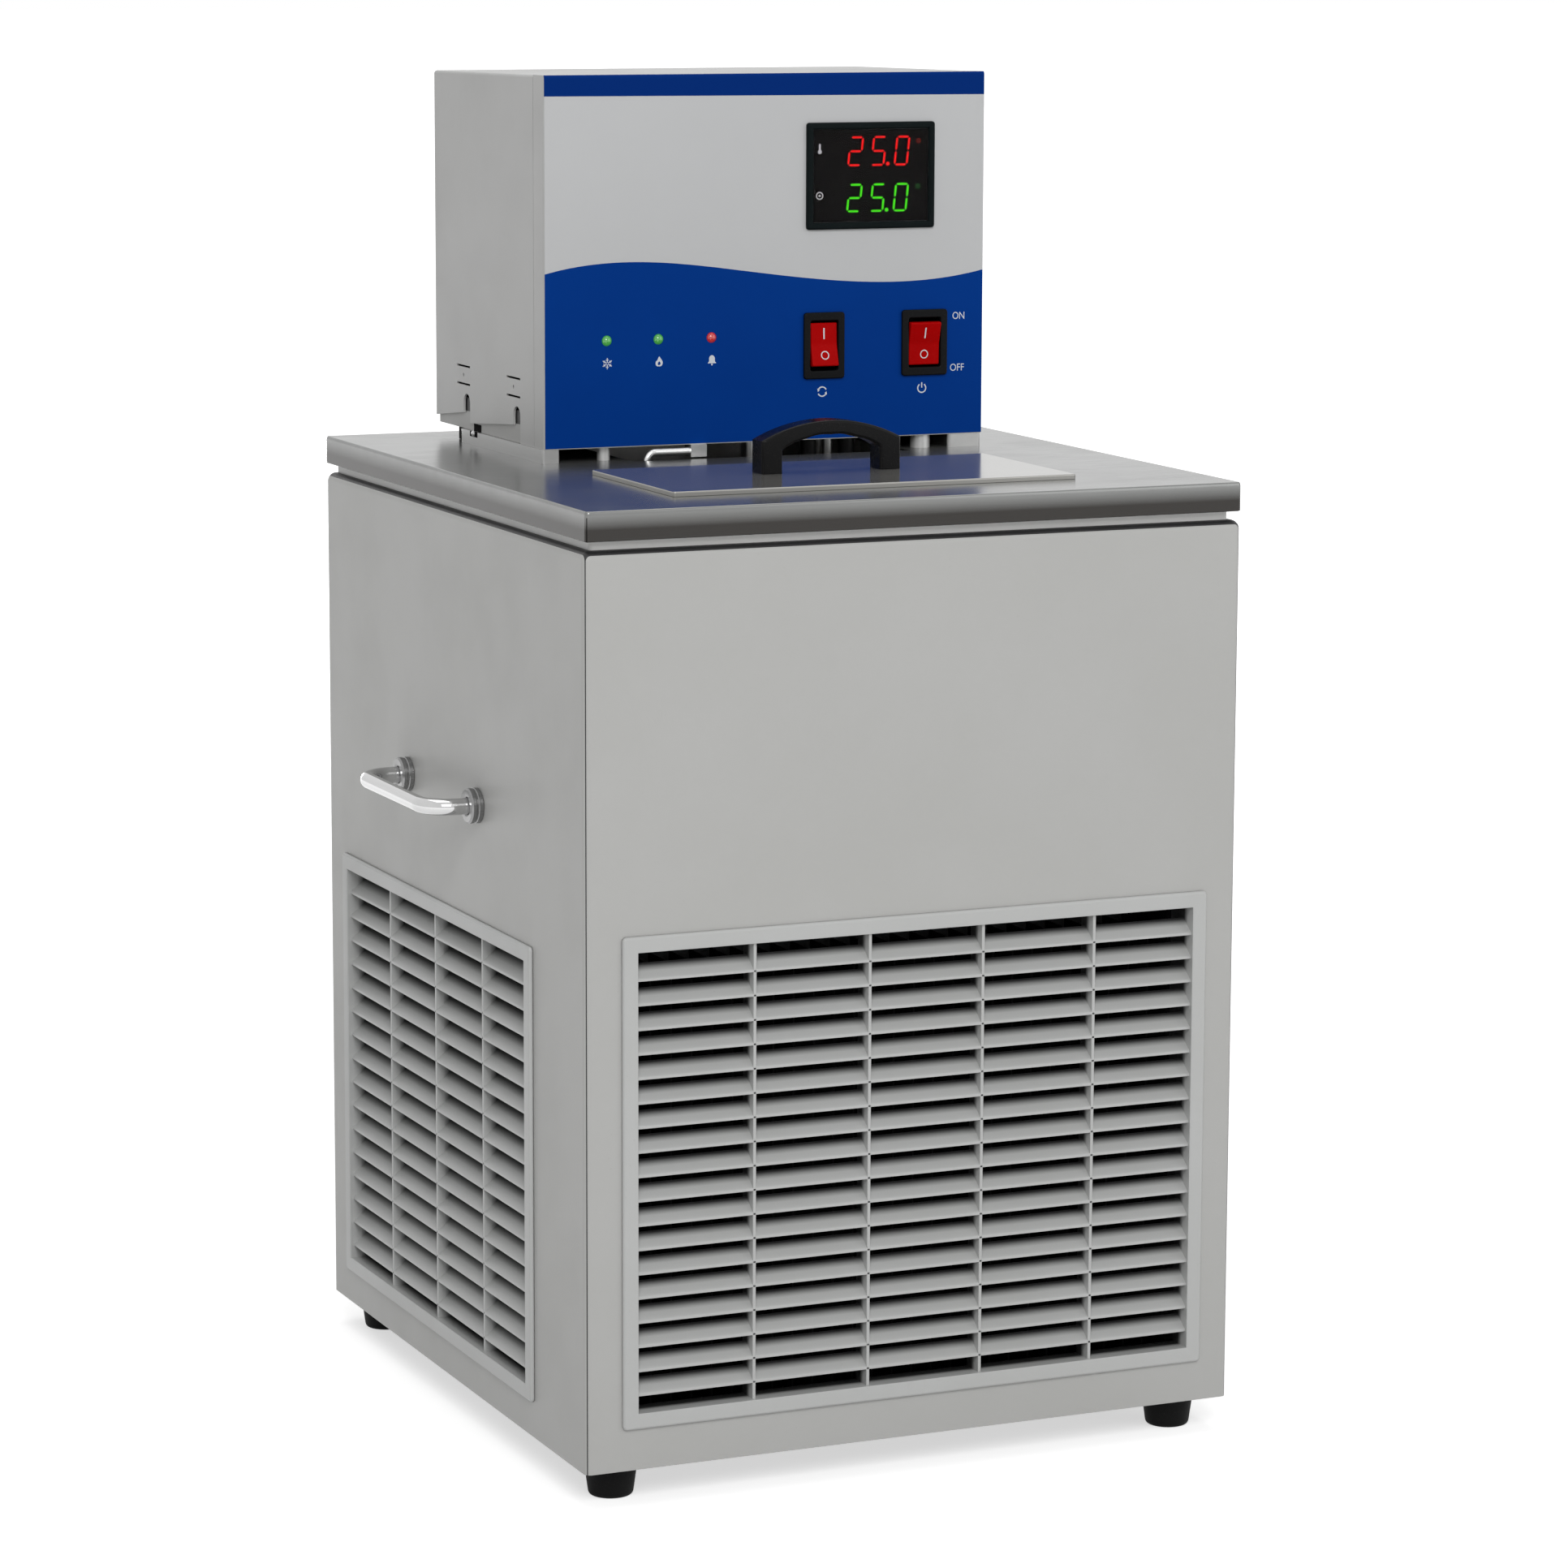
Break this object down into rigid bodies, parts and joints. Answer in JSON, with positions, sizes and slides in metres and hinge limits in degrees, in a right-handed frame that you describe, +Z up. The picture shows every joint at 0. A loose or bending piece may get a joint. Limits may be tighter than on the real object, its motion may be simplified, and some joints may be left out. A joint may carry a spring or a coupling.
{
  "type": "circulating water bath",
  "caption": "Refrigerated circulating bath: louvred cabinet on feet, folded steel worktop with a loose lid over the tank, and a control head with a display and rocker switches.",
  "frame": {"origin": "on the bench plane under the middle of the overall box", "axes": "+X to the right of someone facing the front, +Y to the back where the nozzles are, +Z up"},
  "size_m": [0.3756, 0.379, 0.623],
  "materials": {
    "cabinet_paint": "satin powder coat",
    "neck_paint": "satin",
    "steel": "smooth rolled sheet",
    "polished_steel": "polished",
    "tube_steel": "satin",
    "screw_steel": "bright",
    "foam": "closed cell foam",
    "head_paint": "satin powder coat",
    "rail_steel": "satin",
    "panel_print": "satin printed film, pale field",
    "panel_blue": "satin printed film, blue fields",
    "black_plastic": "satin",
    "window": "dark tinted filter",
    "digits_red": "lit seven-segment digits",
    "digits_green": "lit seven-segment digits",
    "red_plastic": "satin",
    "black_paint": "satin",
    "rubber": "matte",
    "sheet_metal": "satin",
    "aluminium": "mill",
    "copper": "drawn copper tube",
    "brass": "turned, nickel plated",
    "board": "circuit board with its parts",
    "green_lens": "lit lamp lens",
    "red_lens": "lit lamp lens"
  },
  "bodies": {
    "bath": {"cabinet_shell": "cabinet_paint", "base_pan": "cabinet_paint", "rear_panel": "cabinet_paint", "front_grille": "cabinet_paint", "left_grille": "cabinet_paint", "right_grille": "cabinet_paint", "neck_frame": "neck_paint", "worktop": "steel", "bath_tank": "steel", "lid": "steel", "left_handle_bar": "polished_steel", "right_handle_bar": "polished_steel", "handle_collars": "polished_steel", "heater": "tube_steel", "temperature_probe": "tube_steel", "evaporator_coil": "tube_steel", "hose_nozzles": "tube_steel", "pump_housing": "tube_steel", "case_screws": "screw_steel", "foot_screws": "screw_steel", "lid_handle_screws": "screw_steel", "tank_insulation": "foam", "head_cover": "head_paint", "head_front_panel": "head_paint", "head_base": "head_paint", "left_head_rail": "rail_steel", "right_head_rail": "rail_steel", "panel_overlay": "panel_print", "panel_blue_print": "panel_blue", "lid_handle": "black_plastic", "display_case": "black_plastic", "pump_switch_case": "black_plastic", "power_switch_case": "black_plastic", "head_posts": "rail_steel", "pump_posts": "black_plastic", "level_tube": "tube_steel", "power_inlet": "black_plastic", "display_window": "window", "upper_digits": "digits_red", "lower_digits": "digits_green", "compressor": "black_paint", "fan_motor": "black_paint", "pump_motor": "black_paint", "front_left_foot": "rubber", "front_right_foot": "rubber", "rear_left_foot": "rubber", "rear_right_foot": "rubber", "compressor_mounts": "rubber", "fan_shroud": "sheet_metal", "condenser": "aluminium", "refrigerant_lines": "copper", "drain_valve_body": "brass", "control_board": "board", "green_lamps": "green_lens", "red_lamp": "red_lens"},
    "pump_rocker": {"pump_switch_rocker": "red_plastic"},
    "power_rocker": {"power_switch_rocker": "red_plastic"},
    "pump_rotor": {"pump_shaft": "tube_steel"},
    "fan": {"fan_blades": "black_plastic"},
    "drain_lever": {"drain_valve_lever": "black_plastic"}
  },
  "joints": [
    {"name": "pump_switch_rock", "type": "hinge", "parent": "bath", "child": "pump_rocker", "pos_m": [0.0348, 0.0008, 0.4948], "axis": [1, 0, 0], "range_deg": [0, 16]},
    {"name": "power_switch_rock", "type": "hinge", "parent": "bath", "child": "power_rocker", "pos_m": [0.0872, 0.0008, 0.4948], "axis": [1, 0, 0], "range_deg": [-16, 0]},
    {"name": "pump_spin", "type": "hinge", "parent": "bath", "child": "pump_rotor", "pos_m": [0.0475, 0.022, 0.4], "axis": [0, 0, 1], "continuous": true},
    {"name": "fan_spin", "type": "hinge", "parent": "bath", "child": "fan", "pos_m": [0, -0.1335, 0.1312], "axis": [0, 1, 0], "continuous": true},
    {"name": "drain_lever_turn", "type": "hinge", "parent": "bath", "child": "drain_lever", "pos_m": [-0.08, 0.1675, 0.251], "axis": [0, 0, 1], "range_deg": [0, 90]}
  ]
}
